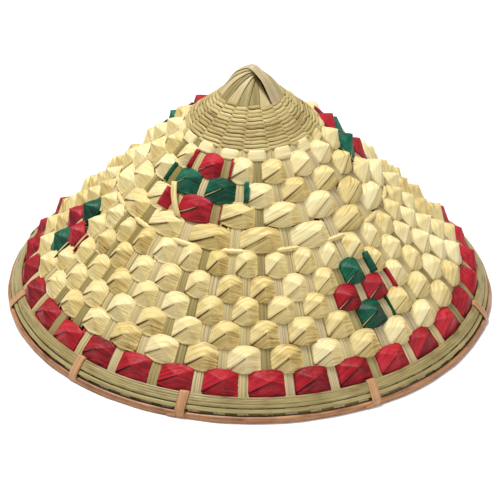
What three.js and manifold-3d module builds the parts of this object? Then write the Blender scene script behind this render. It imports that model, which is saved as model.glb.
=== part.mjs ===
// Woven conical hat: radial bamboo splints, folded straw wefts, twined cap and a lashed bamboo rim.
// Units are millimetres, +Z is up, and the hat rests on the flat underside of its edge strip at z = 0.
import * as THREE from "three";
import { mergeVertices } from "three/addons/utils/BufferGeometryUtils.js";
import Module from "manifold-3d";

const wasm = await Module();
wasm.setup();

// ---------- driving dimensions ----------
const rimRadius = 210;            // outside of the edge strip
const capRadius = 54;             // splint surface where the twined cap begins
const capBottomHeight = 163.5;    // height of that place
const capRise = 40.7;             // from there to the lowest crown splint at the apex
const splintInset = 2.5;          // splint surface at the rim, inside rimRadius
const splintLift = 3.5;           // and above the resting plane

const clearance = 0.3;            // gap between pieces that touch
const dyedGap = 0.45;             // gap between a dyed strip and the weft it lies on
const splintWidth = 8;
const splintThickness = 0.6;
const crownSplints = 8;           // strips over the apex, each with two legs
const splintsPerLeg = 4;          // splints from one leg to the next: the leg and three inserted ones
const crownStackSlack = 0.1;      // gap between two layers at the apex, in splint widths
const firstSplintAngle = 4.5;     // degrees round from the front, towards +X

const strawThickness = 0.5;
const dyedThickness = 0.4;
const cellHeight = 6.5;           // how far the peak of a lower cell stands off its splint
const upperCellHeight = 6;
const flatRowHeight = 1.2;
const cellShoulder = 0.8;         // how far a cell's side stands off its splint, above the straw itself
const cellSideShare = 0.35;       // how far out that side is, from the splint's edge to the next splint
const dyedInset = 1;              // a dyed strip is this much narrower than its weft on each side

const hoopThickness = 2;          // wide outer hoop
const hoopWidth = 9;
const narrowHoopThickness = 1.5;
const narrowHoopWidth = 3.4;
const innerHoopThickness = 2;
const innerHoopWidth = 14.5;
const hoopInset = 1.3;            // from the ends of the splints to the narrow hoop
const hoopSpacing = 1;            // between the two outer hoops
const bandThickness = 0.5;        // thin band that holds the feet of the inserted splints
const bandInset = 1;              // from the band to the splints' ends and to the top of the hoops
const splintFoot = 2.2;           // slant distance from the rim to the ends of the splints
const edgeStripWidth = 7.5;       // flat underside of the edge strip
const edgeStripHeight = 4.4;
const edgeStripCrest = 1;         // the strip's highest line stands this far above its outer face
const edgeStripCrestInset = 2.4;  // and this far inside it
const lashingWidth = 8;
const lashingThickness = 0.7;
const seamCordSize = 1.5;
const twiningThickness = 1.2;
const twiningInset = 1;           // the twining begins this far inside capRadius
const twiningStop = 1.32;         // and it ends this far outside crownStackStart
const seamShare = 0.613;          // part of the slope that the lower band covers
const lowerRows = 6;
const upperRows = 4;
const flatRowWidth = 7.5;

// ---------- where the crown strips cross ----------
// These follow the splint's width, because wider strips meet further from the apex.
const crownFlatRadius = 0.625 * splintWidth;   // flat top of the cap
const crownStackFull = 2.375 * splintWidth;    // radius where each strip has reached its own layer
const crownStackStart = 3.75 * splintWidth;    // radius where the strips begin to climb over each other
const crownStackStep = splintThickness + crownStackSlack * splintWidth;

// ---------- the cone ----------
const splintCount = crownSplints * 2 * splintsPerLeg;
const splintPitch = (2 * Math.PI) / splintCount;
const crownHeight = capBottomHeight + capRise;
const footRadius = rimRadius - splintInset;
const slantRun = footRadius - capRadius;
const slantRise = capBottomHeight - splintLift;
const slantLength = Math.hypot(slantRun, slantRise);
const slantOut = slantRise / slantLength;    // radial share of the outward normal
const slantUp = slantRun / slantLength;      // vertical share of it

// Slant distance s up from the rim and distance n out from the underside of the splints.
function cone(s, n) {
  return [footRadius - slantUp * s + slantOut * n, splintLift + slantOut * s + slantUp * n];
}

// ---------- rows, as slant distances ----------
const narrowStart = splintFoot + hoopInset;
const wideStart = narrowStart + narrowHoopWidth + hoopSpacing;
const hoopTop = wideStart + hoopWidth;
const lashingTop = hoopTop + clearance + lashingThickness;
const seam = slantLength * seamShare;
const lowerStart = lashingTop + clearance;
const lowerPitch = (seam - seamCordSize / 2 - lowerStart) / lowerRows;
const upperStart = seam + seamCordSize / 2 + clearance;
const upperPitch = (slantLength - flatRowWidth - upperStart) / upperRows;

// ---------- mesh helpers ----------
function solid(points, triangles) {
  const geometry = new THREE.BufferGeometry();
  geometry.setAttribute("position", new THREE.BufferAttribute(new Float32Array(points.flat()), 3));
  geometry.setIndex(triangles.flat());
  return geometry;
}

// Closed skin over sections with the same number of points. A ring joins its last section to its first.
// Each side is split along the diagonal that rises with the section's points, or the other one if crossed.
function loft(sections, ring, crossed = []) {
  const count = sections[0].length;
  const points = sections.flat();
  const triangles = [];
  const spans = ring ? sections.length : sections.length - 1;
  for (let i = 0; i < spans; i += 1) {
    const here = i * count;
    const next = ((i + 1) % sections.length) * count;
    for (let j = 0; j < count; j += 1) {
      const k = (j + 1) % count;
      if (crossed.includes(j)) {
        triangles.push([here + j, next + j, here + k], [next + j, next + k, here + k]);
      } else {
        triangles.push([here + j, next + j, next + k], [here + j, next + k, here + k]);
      }
    }
  }
  if (!ring) {
    const last = (sections.length - 1) * count;
    for (const [a, b, c] of endTriangles(count)) {
      triangles.push([a, b, c]);
      triangles.push([last + a, last + c, last + b]);
    }
  }
  return outward(solid(points, triangles));
}

// Triangles over the end of a section: a strip that pairs points from both of its sides.
function endTriangles(count) {
  const triangles = [];
  let low = 0;
  let high = count - 1;
  while (high - low > 1) {
    triangles.push([low, low + 1, high]);
    low += 1;
    if (high - low > 1) {
      triangles.push([low, high - 1, high]);
      high -= 1;
    }
  }
  return triangles;
}

function volume(geometry) {
  const p = geometry.attributes.position;
  const index = geometry.index;
  const [a, b, c] = [new THREE.Vector3(), new THREE.Vector3(), new THREE.Vector3()];
  let total = 0;
  for (let i = 0; i < index.count; i += 3) {
    a.fromBufferAttribute(p, index.getX(i));
    b.fromBufferAttribute(p, index.getX(i + 1));
    c.fromBufferAttribute(p, index.getX(i + 2));
    total += a.dot(b.cross(c)) / 6;
  }
  return total;
}

function outward(geometry) {
  if (volume(geometry) < 0) {
    const index = geometry.index.array;
    for (let i = 0; i < index.length; i += 3) {
      [index[i + 1], index[i + 2]] = [index[i + 2], index[i + 1]];
    }
  }
  return geometry;
}

function toManifold(geometry) {
  const plain = geometry.clone();
  plain.deleteAttribute("normal");
  plain.deleteAttribute("uv");
  const merged = mergeVertices(plain, 1e-4);
  return new wasm.Manifold(new wasm.Mesh({
    numProp: 3,
    vertProperties: new Float32Array(merged.attributes.position.array),
    triVerts: new Uint32Array(merged.index.array),
  }));
}

function fromManifold(body) {
  const mesh = body.getMesh();
  const geometry = new THREE.BufferGeometry();
  geometry.setAttribute("position", new THREE.BufferAttribute(new Float32Array(mesh.vertProperties), 3));
  geometry.setIndex(Array.from(mesh.triVerts));
  return geometry;
}

// ---------- placing points ----------
// Angle of splint number i. Angles run from the front (-Y) towards +X.
function splintAngle(i) {
  return i * splintPitch;
}

// A point at radius and height, side millimetres sideways, seen along the splint at this angle.
function place(angle, side, [radius, height]) {
  const out = [Math.sin(angle), -Math.cos(angle)];
  const across = [Math.cos(angle), Math.sin(angle)];
  return [radius * out[0] + side * across[0], radius * out[1] + side * across[1], height];
}

// A ring whose flat sides face the splints. The profile is a list of [radius, height].
function hoop(profile, sides = splintCount) {
  const half = Math.PI / sides;
  const sections = [];
  for (let i = 0; i < sides; i += 1) {
    const angle = splintAngle(0) + (2 * i + 1) * half;
    const corner = ([radius, height]) => place(angle, 0, [radius / Math.cos(half), height]);
    sections.push(profile.map(corner));
  }
  return loft(sections, true);
}

function slantProfile(s0, s1, n0, n1) {
  return [cone(s0, n0), cone(s1, n0), cone(s1, n1), cone(s0, n1)];
}

// ---------- materials ----------
function matte(color, roughness) {
  return new THREE.MeshStandardMaterial({ color, roughness, metalness: 0 });
}
const bambooSkin = matte(0xa8955a, 0.55);
const greenBamboo = matte(0x9c9a58, 0.5);
const straw = matte(0xe6d49a, 0.6);
const redStraw = matte(0xb8182c, 0.5);
const greenStraw = matte(0x00604a, 0.5);
const rattan = matte(0xb4824f, 0.55);

const hat = new THREE.Group();
hat.name = "conical_hat";
hat.rotation.z = THREE.MathUtils.degToRad(firstSplintAngle);

function add(name, geometry, material) {
  const mesh = new THREE.Mesh(geometry, material.clone());
  mesh.name = name;
  hat.add(mesh);
  return mesh;
}

// ---------- crown splints ----------
// Height of the cap's surface at a radius, for the crown strip on this layer.
function capHeight(radius, layer) {
  const slope = (crownHeight - capBottomHeight) / (capRadius - crownFlatRadius);
  const climb = (crownStackStart - radius) / (crownStackStart - crownStackFull);
  const base = capBottomHeight + slope * (capRadius - Math.max(radius, crownFlatRadius));
  return base + layer * crownStackStep * Math.min(1, Math.max(0, climb));
}

// One strip from rim to rim over the apex. It is flat across its legs, and follows the round of the cap
// where the strips lie on each other. Each layer is turned one leg from the one below.
function crownSplint(layer) {
  const angle = splintAngle(splintsPerLeg * (1 - layer));
  const legThickness = [splintThickness * slantOut, splintThickness * slantUp];
  const across = [-splintWidth / 2, 0, splintWidth / 2];
  // A section at a radius, negative beyond the apex. heightAt gives the underside's height at each side.
  function section(radius, heightAt, [thickOut, thickUp]) {
    const low = across.map((y) => place(angle, y, [radius, heightAt(y)]));
    const outer = radius + Math.sign(radius) * thickOut;
    const high = across.map((y) => place(angle, y, [outer, heightAt(y) + thickUp]));
    return [...low, ...high.reverse()];
  }
  function half(side) {
    const leg = [splintFoot, slantLength].map((s) => {
      const [radius, height] = cone(s, 0);
      return section(side * radius, () => height, legThickness);
    });
    const middleOfClimb = (crownStackStart + crownStackFull) / 2;
    const middleOfTop = (crownStackFull + crownFlatRadius) / 2;
    const radii = [crownStackStart, middleOfClimb, crownStackFull, middleOfTop, crownFlatRadius];
    const top = radii.map((radius, k) => {
      const heightAt = (y) => capHeight(Math.hypot(radius, y), layer);
      return section(side * radius, heightAt, k === 0 ? legThickness : [0, splintThickness]);
    });
    return [...leg, ...top];
  }
  const apex = section(0, (y) => capHeight(Math.abs(y), layer), [0, splintThickness]);
  return loft([...half(1), apex, ...half(-1).reverse()], false);
}
for (let layer = 0; layer < crownSplints; layer += 1) {
  add(`crown_splint_${layer + 1}`, crownSplint(layer), bambooSkin);
}

// ---------- inserted splints ----------
const outerBandLow = splintThickness + clearance;
const outerBandHigh = outerBandLow + bandThickness;
const innerBandHigh = -clearance;
const innerBandLow = innerBandHigh - bandThickness;

// One splint, thicker at its foot. Levels are [low, high], out from the underside of the splints.
function insertedSplint(i, top, foot) {
  const half = splintWidth / 2;
  const angle = splintAngle(i);
  const plain = [0, splintThickness];
  const stations = [[splintFoot, foot], [hoopTop, plain], [top, plain]];
  return loft(stations.map(([s, [low, high]]) => [
    place(angle, -half, cone(s, low)),
    place(angle, half, cone(s, low)),
    place(angle, half, cone(s, high)),
    place(angle, -half, cone(s, high)),
  ]), false);
}

// Splints of one length, with their feet held together by a thin band in the rim.
function insertedSplints(indices, top, band, foot) {
  const feet = indices.map((i) => toManifold(insertedSplint(i, top, foot)));
  return fromManifold(feet.reduce((body, next) => body.add(next), toManifold(band)));
}

const bandGrip = bandThickness / 2;
const upperIndices = Array.from({ length: splintCount / 4 }, (_, k) => 4 * k + 2);
const lowerIndices = Array.from({ length: splintCount / 2 }, (_, k) => 2 * k + 1);
const bandFoot = splintFoot + bandInset;
const bandEnd = hoopTop - bandInset;
add("upper_inserted_splints", insertedSplints(
  upperIndices,
  slantLength - clearance,
  hoop(slantProfile(bandFoot, bandEnd, innerBandLow, innerBandHigh)),
  [innerBandLow + bandGrip, splintThickness],
), bambooSkin);
add("lower_inserted_splints", insertedSplints(
  lowerIndices,
  seam,
  hoop(slantProfile(bandFoot, bandEnd, outerBandLow, outerBandHigh)),
  [0, outerBandHigh - bandGrip],
), bambooSkin);

// ---------- wefts ----------
// A weft passes over every second splint of its band and under the others. Its section is a low triangle
// whose middle rises to a peak over each covered splint. Levels are distances out from the splints.
const overLevel = splintThickness + clearance;
const underTop = -clearance - dyedThickness - dyedGap;
const underBase = underTop - strawThickness;

// Sideways place of the edges of a cell and of the stretch under a splint, at a slant distance.
function gapSide(s, stride) {
  const halfPitch = cone(s, 0)[0] * Math.tan((stride * splintPitch) / 2);
  return splintWidth / 2 + cellSideShare * (halfPitch - splintWidth / 2);
}

// Stations round a weft: each gives the splint it faces, its side, and its levels.
function weftStations(first, stride, count, peak) {
  const stations = [];
  const shoulder = overLevel + strawThickness + cellShoulder;
  for (let k = 0; k < count; k += 1) {
    const i = first + k * stride;
    const over = k % 2 === 0;
    if (over) {
      stations.push({ i, side: -1, base: overLevel, middle: shoulder });
      stations.push({ i, side: 0, base: overLevel, middle: peak });
      stations.push({ i, side: 1, base: overLevel, middle: shoulder });
    } else {
      stations.push({ i, side: -1, base: underBase, middle: underTop });
      stations.push({ i, side: 1, base: underBase, middle: underTop });
    }
  }
  return stations;
}

function weft(first, stride, s0, s1, peak) {
  const count = splintCount / stride;
  const middle = (s0 + s1) / 2;
  const sections = weftStations(first, stride, count, peak).map((station) => {
    const angle = splintAngle(station.i);
    const at = (s, n) => place(angle, station.side * gapSide(s, stride), cone(s, n));
    return [at(s0, station.base), at(s1, station.base), at(middle, station.middle)];
  });
  return loft(sections, true);
}

function lowerRowSpan(row) {
  return [lowerStart + row * lowerPitch, lowerStart + (row + 1) * lowerPitch - clearance];
}
function upperRowSpan(row) {
  return [upperStart + row * upperPitch, upperStart + (row + 1) * upperPitch - clearance];
}

for (let row = 0; row < lowerRows; row += 1) {
  const name = row === 0 ? "edge_weft_red" : `lower_weft_${row}`;
  const material = row === 0 ? redStraw : straw;
  add(name, weft(row % 2, 1, ...lowerRowSpan(row), cellHeight), material);
}
for (let row = 0; row < upperRows; row += 1) {
  add(`upper_weft_${row + 1}`, weft((row % 2) * 2, 2, ...upperRowSpan(row), upperCellHeight), straw);
}
const flatRow = [slantLength - flatRowWidth, slantLength - clearance];
add("upper_weft_5", weft(0, 2, ...flatRow, overLevel + flatRowHeight), straw);

// ---------- dyed strips ----------
// A dyed strip lies on its weft's cells, and both its ends are tucked under the next splints.
function dyedStrip(centre, cells, stride, [s0, s1], peak) {
  const firstOver = centre - (cells - 1) * stride;
  const middle = (s0 + s1) / 2;
  const start = firstOver - stride;
  const stations = weftStations(start + stride, stride, 2 * cells - 1, peak);
  stations.unshift({ i: start, side: 1, base: underBase, middle: underTop });
  stations.unshift({ i: start, side: 0, base: underBase, middle: underTop });
  const end = start + 2 * cells * stride;
  stations.push({ i: end, side: -1, base: underBase, middle: underTop });
  stations.push({ i: end, side: 0, base: underBase, middle: underTop });
  const share = dyedInset / (middle - s0);
  const sections = stations.map((station) => {
    const angle = splintAngle(station.i);
    const edge = station.base + share * (station.middle - station.base);
    const at = (s, n) => place(angle, station.side * gapSide(s, stride), cone(s, n));
    const low = dyedGap;
    const high = low + dyedThickness;
    return [
      at(s1 - dyedInset, edge + low), at(middle, station.middle + low), at(s0 + dyedInset, edge + low),
      at(s0 + dyedInset, edge + high), at(middle, station.middle + high), at(s1 - dyedInset, edge + high),
    ];
  });
  return loft(sections, false, [3, 4]);
}

// Three diamonds of four cells round each band, at about a third of a turn from each other.
const upperDiamonds = [-6, 18, 38];
const lowerDiamonds = [6, 28, 48];
upperDiamonds.forEach((centre, k) => {
  const peak = upperCellHeight;
  const strips = [[1, 1, redStraw, "low_red"], [2, 2, greenStraw, "green"], [3, 1, redStraw, "top_red"]];
  for (const [row, cells, material, label] of strips) {
    add(`upper_diamond_${k + 1}_${label}`, dyedStrip(centre, cells, 2, upperRowSpan(row), peak), material);
  }
});
lowerDiamonds.forEach((centre, k) => {
  const peak = cellHeight;
  const strips = [[2, 1, greenStraw, "low_green"], [3, 2, redStraw, "red"], [4, 1, greenStraw, "top_green"]];
  for (const [row, cells, material, label] of strips) {
    add(`lower_diamond_${k + 1}_${label}`, dyedStrip(centre, cells, 1, lowerRowSpan(row), peak), material);
  }
});

// ---------- seam cord ----------
add("seam_cord", hoop([
  cone(seam - seamCordSize / 2, overLevel),
  cone(seam + seamCordSize / 2, overLevel),
  cone(seam, overLevel + seamCordSize),
]), straw);

// ---------- cap twining ----------
// A basket wall round the crown splints, with a channel for each of them.
function capTwining() {
  const endRadii = [capRadius - twiningInset, crownStackStart + twiningStop];
  const ends = endRadii.map((radius) => [radius, capHeight(radius, 0)]);
  const shift = ([radius, height], n) => [radius + slantOut * n, height + slantUp * n];
  const low = -twiningThickness - clearance;
  const high = splintThickness + clearance + twiningThickness;
  const sides = crownSplints * 2;
  const wall = [shift(ends[0], low), shift(ends[1], low), shift(ends[1], high), shift(ends[0], high)];
  let body = toManifold(hoop(wall, sides));
  const half = splintWidth / 2 + clearance;
  const runOutShare = 0.2;    // the channels' cutters run out past both ends by this share
  const runOut = (end, toward) => end.map((v, k) => v + (v - toward[k]) * runOutShare);
  const channelEnds = [runOut(ends[0], ends[1]), runOut(ends[1], ends[0])];
  for (let leg = 0; leg < sides; leg += 1) {
    const angle = splintAngle(leg * splintsPerLeg);
    const sections = channelEnds.map((end) => [
      place(angle, -half, shift(end, -clearance)),
      place(angle, half, shift(end, -clearance)),
      place(angle, half, shift(end, splintThickness + clearance)),
      place(angle, -half, shift(end, splintThickness + clearance)),
    ]);
    body = body.subtract(toManifold(loft(sections, false)));
  }
  return fromManifold(body);
}
add("cap_twining", capTwining(), straw);

// ---------- rim ----------
const hoopBase = outerBandHigh + clearance;
const innerHigh = innerBandLow - clearance;
const innerLow = innerHigh - innerHoopThickness;
add("outer_hoop", hoop(slantProfile(wideStart, hoopTop, hoopBase, hoopBase + hoopThickness)), greenBamboo);
add("narrow_hoop", hoop(slantProfile(
  narrowStart,
  narrowStart + narrowHoopWidth,
  hoopBase,
  hoopBase + narrowHoopThickness,
)), greenBamboo);
add("inner_hoop", hoop(slantProfile(
  splintFoot,
  splintFoot + innerHoopWidth,
  innerLow,
  innerHigh,
)), greenBamboo);

// ---------- lashings and edge strip ----------
// Each lashing is one closed turn round the hoops, the splint ends and the edge strip.
const lashingSlots = [-28, -21, -15, -9, -4, 4, 12, 19, 25, 31];
const loopOutside = [
  cone(lashingTop, hoopBase + hoopThickness + clearance + lashingThickness),
  cone(narrowStart, hoopBase + hoopThickness + clearance + lashingThickness),
  [rimRadius, edgeStripHeight + edgeStripCrest],
  [rimRadius, 0],
  [rimRadius - edgeStripWidth, 0],
  cone(splintFoot, innerLow - clearance - lashingThickness),
  cone(lashingTop, innerLow - clearance - lashingThickness),
];

// The same outline moved in by a distance along each side's normal.
function inset(outline, distance) {
  const count = outline.length;
  const area = outline.reduce((sum, [x, y], i) => {
    const [u, v] = outline[(i + 1) % count];
    return sum + x * v - u * y;
  }, 0);
  const turn = Math.sign(area);
  const lines = outline.map(([x, y], i) => {
    const [u, v] = outline[(i + 1) % count];
    const length = Math.hypot(u - x, v - y);
    const normal = [(-turn * (v - y)) / length, (turn * (u - x)) / length];
    return { point: [x + normal[0] * distance, y + normal[1] * distance], along: [u - x, v - y] };
  });
  return lines.map((line, i) => {
    const before = lines[(i + count - 1) % count];
    const cross = before.along[0] * line.along[1] - before.along[1] * line.along[0];
    const dx = line.point[0] - before.point[0];
    const dy = line.point[1] - before.point[1];
    const share = (dx * line.along[1] - dy * line.along[0]) / cross;
    return [before.point[0] + before.along[0] * share, before.point[1] + before.along[1] * share];
  });
}

function prism(outline, angle, width) {
  const shape = new THREE.Shape(outline.map(([x, y]) => new THREE.Vector2(x, y)));
  const geometry = new THREE.ExtrudeGeometry(shape, { depth: width, bevelEnabled: false, steps: 1 });
  geometry.translate(0, 0, -width / 2);
  const out = new THREE.Vector3(Math.sin(angle), -Math.cos(angle), 0);
  const up = new THREE.Vector3(0, 0, 1);
  const across = new THREE.Vector3(Math.cos(angle), Math.sin(angle), 0);
  geometry.applyMatrix4(new THREE.Matrix4().makeBasis(out, up, across.negate()));
  return geometry;
}

function lashing(slot) {
  const angle = splintAngle(slot + 0.5);
  const half = lashingWidth / 2;
  const inside = inset(loopOutside, lashingThickness);
  const sections = loopOutside.map((point, i) => [
    place(angle, -half, point),
    place(angle, half, point),
    place(angle, half, inside[i]),
    place(angle, -half, inside[i]),
  ]);
  return loft(sections, true);
}
lashingSlots.forEach((slot, k) => {
  add(`rattan_lashing_${String(k + 1).padStart(2, "0")}`, lashing(slot), rattan);
});

// The edge strip is notched where each lashing passes, so both lie flush on the resting plane.
function edgeStrip() {
  const profile = [
    [rimRadius - edgeStripWidth, 0],
    [rimRadius, 0],
    [rimRadius, edgeStripHeight],
    [rimRadius - edgeStripCrestInset, edgeStripHeight + edgeStripCrest],
  ];
  let body = toManifold(hoop(profile));
  const grown = inset(loopOutside, -edgeStripCrestInset);
  const core = inset(loopOutside, lashingThickness + clearance);
  for (const slot of lashingSlots) {
    const angle = splintAngle(slot + 0.5);
    const width = lashingWidth + 2 * clearance;
    const notch = toManifold(prism(grown, angle, width)).subtract(toManifold(prism(core, angle, width + 1)));
    body = body.subtract(notch);
  }
  return fromManifold(body);
}
add("edge_strip", edgeStrip(), rattan);

export default hat;
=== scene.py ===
"""Woven conical hat on its CAD frame: splints, folded straw cells, twined cap and lashed rim."""
import math

import bpy
import numpy as np
from mathutils import Matrix, Vector


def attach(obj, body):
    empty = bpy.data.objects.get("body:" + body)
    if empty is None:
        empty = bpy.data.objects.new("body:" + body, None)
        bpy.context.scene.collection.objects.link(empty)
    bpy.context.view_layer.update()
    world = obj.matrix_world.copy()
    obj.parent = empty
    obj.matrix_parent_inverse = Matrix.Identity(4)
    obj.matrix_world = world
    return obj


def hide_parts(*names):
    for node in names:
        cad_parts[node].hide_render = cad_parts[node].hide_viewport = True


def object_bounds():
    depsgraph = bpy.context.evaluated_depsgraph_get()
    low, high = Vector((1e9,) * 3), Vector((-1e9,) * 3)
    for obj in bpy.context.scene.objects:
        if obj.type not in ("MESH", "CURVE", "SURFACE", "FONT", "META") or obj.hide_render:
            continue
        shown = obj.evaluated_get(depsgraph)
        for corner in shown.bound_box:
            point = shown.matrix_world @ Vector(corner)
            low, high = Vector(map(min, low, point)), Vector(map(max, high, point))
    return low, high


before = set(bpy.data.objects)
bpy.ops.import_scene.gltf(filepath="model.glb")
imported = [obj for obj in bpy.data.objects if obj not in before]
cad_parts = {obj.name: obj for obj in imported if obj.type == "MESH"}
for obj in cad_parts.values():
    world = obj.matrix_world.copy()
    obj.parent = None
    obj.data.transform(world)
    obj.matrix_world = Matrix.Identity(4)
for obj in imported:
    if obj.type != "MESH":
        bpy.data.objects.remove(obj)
cad_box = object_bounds()
rng = np.random.default_rng(11)
MM = 0.001                 # metres in a millimetre

# ---------- sizes of the weave, in millimetres ----------
RIM_RADIUS = (cad_box[1][0] - cad_box[0][0]) / 2 / MM
SPLINT_INSET = 2.5
SPLINT_LIFT = 3.5
CAP_RADIUS = 54.0          # splint surface where the twined cap begins
CAP_BOTTOM = 163.5         # height of that place
CROWN_HEIGHT = 204.2       # lowest crown splint at the apex
CROWN_FLAT = 5.0           # radius of the crown's flat top
CROWN_LAYERS = 8
STACK_STEP = 1.4           # from one layer to the next at the apex
STACK_START = 30.0         # radius where the layers begin to part
STACK_FULL = 19.0          # radius where they are fully apart
FIRST_ANGLE = 4.5          # degrees from the front towards +X
SPLINTS = 64
PITCH = 360.0 / SPLINTS

FOOT_RADIUS = RIM_RADIUS - SPLINT_INSET
SLANT_RUN = FOOT_RADIUS - CAP_RADIUS
SLANT_RISE = CAP_BOTTOM - SPLINT_LIFT
SLANT = math.hypot(SLANT_RUN, SLANT_RISE)
OUT = SLANT_RISE / SLANT
UP = SLANT_RUN / SLANT
SPLINT_THICK = 0.6
SPLINT_SHELL = 0.55        # thickness of the drawn splints
STRAW_SHELL = 0.38         # and of the drawn straw
ROW_START = 18.6           # slant distances from the rim
SEAM = SLANT * 0.613
SEAM_GAP = 1.0             # from the seam to the rows on both sides
LOWER_ROWS = 6
LOWER_PITCH = (SEAM - SEAM_GAP - ROW_START) / LOWER_ROWS
UPPER_ROWS = 4
FLAT_ROW = 7.5
UPPER_PITCH = (SLANT - FLAT_ROW - SEAM - SEAM_GAP) / UPPER_ROWS


def cone(s, n):
    """Radius and height at slant distance s up from the rim and n out from the splints."""
    return FOOT_RADIUS - UP * s + OUT * n, SPLINT_LIFT + OUT * s + UP * n


def together(*values):
    """The values, broadcast to one shape, as the last axis of one array."""
    return np.stack(np.broadcast_arrays(*values), -1)


def round_axis(a, radius, height):
    """Points in metres at an angle in radians round the hat, a radius and a height."""
    return together(radius * np.sin(a), -radius * np.cos(a), height) * MM


def place(degrees, s, n):
    """Points in metres at an angle round the hat, slant distance and distance out."""
    return round_axis(np.radians(degrees), *cone(s, n))


def angle_of(i):
    return FIRST_ANGLE + PITCH * i


def smooth(low, high, x):
    t = np.clip((x - low) / (high - low), 0, 1)
    return t * t * (3 - 2 * t)


# ---------- collecting sheets into one mesh ----------
class Sheets:
    """Grids of points joined into one mesh. Each point has fibre coordinates in mm, a tone, and a shade,
    which is painted light and shade in its colour.
    """

    def __init__(self):
        self.points, self.faces, self.count = [], [], 0
        self.fibre, self.tone, self.shade = [], [], []

    def grid(self, points, fibre, tone, closed=False, around=None, shade=0.0):
        """Adds a grid of quads that faces out of the hat, or away from the point around."""
        rows, columns = points.shape[:2]
        self.points.append(points.reshape(-1, 3))
        self.fibre.append(np.broadcast_to(fibre, (rows, columns, 2)).reshape(-1, 2))
        self.tone.append(np.broadcast_to(tone, (rows, columns)).reshape(-1))
        self.shade.append(np.broadcast_to(shade, (rows, columns)).reshape(-1))
        i, j = np.meshgrid(np.arange(rows - (0 if closed else 1)), np.arange(columns - 1), indexing="ij")
        here, after = i * columns + j, (i + 1) % rows * columns + j
        quads = np.stack([here, after, after + 1, here + 1], -1).reshape(-1, 4)
        corners = points.reshape(-1, 3)[quads]
        normal = np.cross(corners[:, 2] - corners[:, 0], corners[:, 3] - corners[:, 1])
        middle = corners.mean(1)
        if around is None:
            away = middle * (1, 1, 0)
            away = away / np.maximum(np.linalg.norm(away, axis=1, keepdims=True), 1e-9) * OUT + (0, 0, UP)
        else:
            away = middle - around
        if (normal * away).sum() < 0:
            quads = quads[:, ::-1]
        self.faces.append(quads + self.count)
        self.count += rows * columns

    def build(self, name, material, thickness=0.0, sharp=38.0):
        points = np.concatenate(self.points)
        faces = np.concatenate(self.faces)
        mesh = bpy.data.meshes.new(name)
        mesh.vertices.add(len(points))
        mesh.vertices.foreach_set("co", points.astype(np.float32).ravel())
        mesh.loops.add(faces.size)
        mesh.loops.foreach_set("vertex_index", faces.astype(np.int32).ravel())
        mesh.polygons.add(len(faces))
        mesh.polygons.foreach_set("loop_start", np.arange(0, faces.size, 4, dtype=np.int32))
        mesh.update(calc_edges=True)
        layer = mesh.uv_layers.new(name="fibre")
        fibre = np.concatenate(self.fibre)[faces.ravel()]
        layer.data.foreach_set("uv", fibre.astype(np.float32).ravel())
        # The shade attribute is painted light and shade that the materials add to the colour.
        for key, values in (("tone", self.tone), ("shade", self.shade)):
            attribute = mesh.attributes.new(key, "FLOAT", "POINT")
            attribute.data.foreach_set("value", np.concatenate(values).astype(np.float32))
        mesh.validate()
        mesh.shade_smooth()
        mesh.set_sharp_from_angle(angle=math.radians(sharp))
        mesh.materials.append(material)
        piece = bpy.data.objects.new(name, mesh)
        bpy.context.scene.collection.objects.link(piece)
        if thickness:
            shell = piece.modifiers.new("thickness", "SOLIDIFY")
            shell.thickness = thickness * MM
            shell.offset = -1
        return piece


def finish_piece(piece, slot, *nodes):
    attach(piece, "root")
    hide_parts(*nodes)


# ---------- materials ----------
def linear(red, green, blue):
    """A colour given in sRGB steps of 255, as the linear values that shaders use."""
    def channel(v):
        v /= 255
        return v / 12.92 if v <= 0.04045 else ((v + 0.055) / 1.055) ** 2.4
    return channel(red), channel(green), channel(blue), 1.0


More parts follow.
